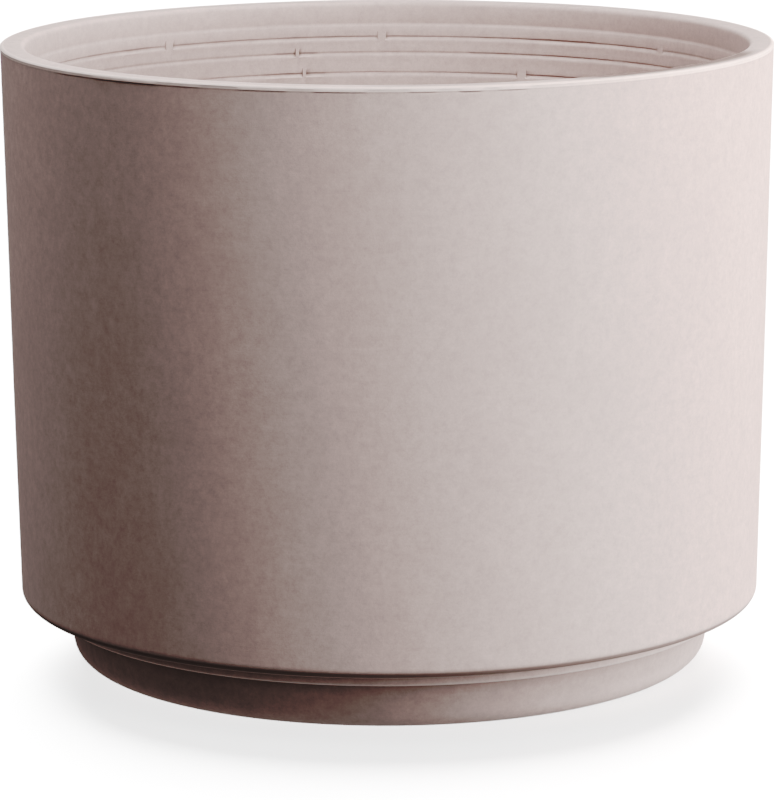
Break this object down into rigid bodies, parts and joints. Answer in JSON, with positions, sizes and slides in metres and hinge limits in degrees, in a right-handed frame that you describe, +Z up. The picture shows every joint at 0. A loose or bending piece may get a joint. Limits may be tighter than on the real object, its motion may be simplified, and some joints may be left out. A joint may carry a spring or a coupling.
{
  "type": "floor planter",
  "caption": "Round terracotta floor planter with a slightly tapered wall, whose stepped-in foot stands in a recessed saucer with a banded rim.",
  "frame": {"origin": "centre of the saucer's underside, on the floor", "axes": "+Z up along the planter's axis; +Y to the back and +X to the right as seen in the picture"},
  "size_m": [0.4, 0.4, 0.324],
  "materials": {
    "pot_clay": "pressed unglazed terracotta with a pale bloom, matt",
    "saucer_clay": "pressed unglazed terracotta, matt"
  },
  "bodies": {
    "saucer": {"saucer": "saucer_clay"},
    "pot": {"pot": "pot_clay"}
  },
  "joints": [
    {"name": "pot_lift", "type": "slide", "parent": "saucer", "child": "pot", "axis": [0, 0, 1], "range_m": [0, 0.08]}
  ]
}
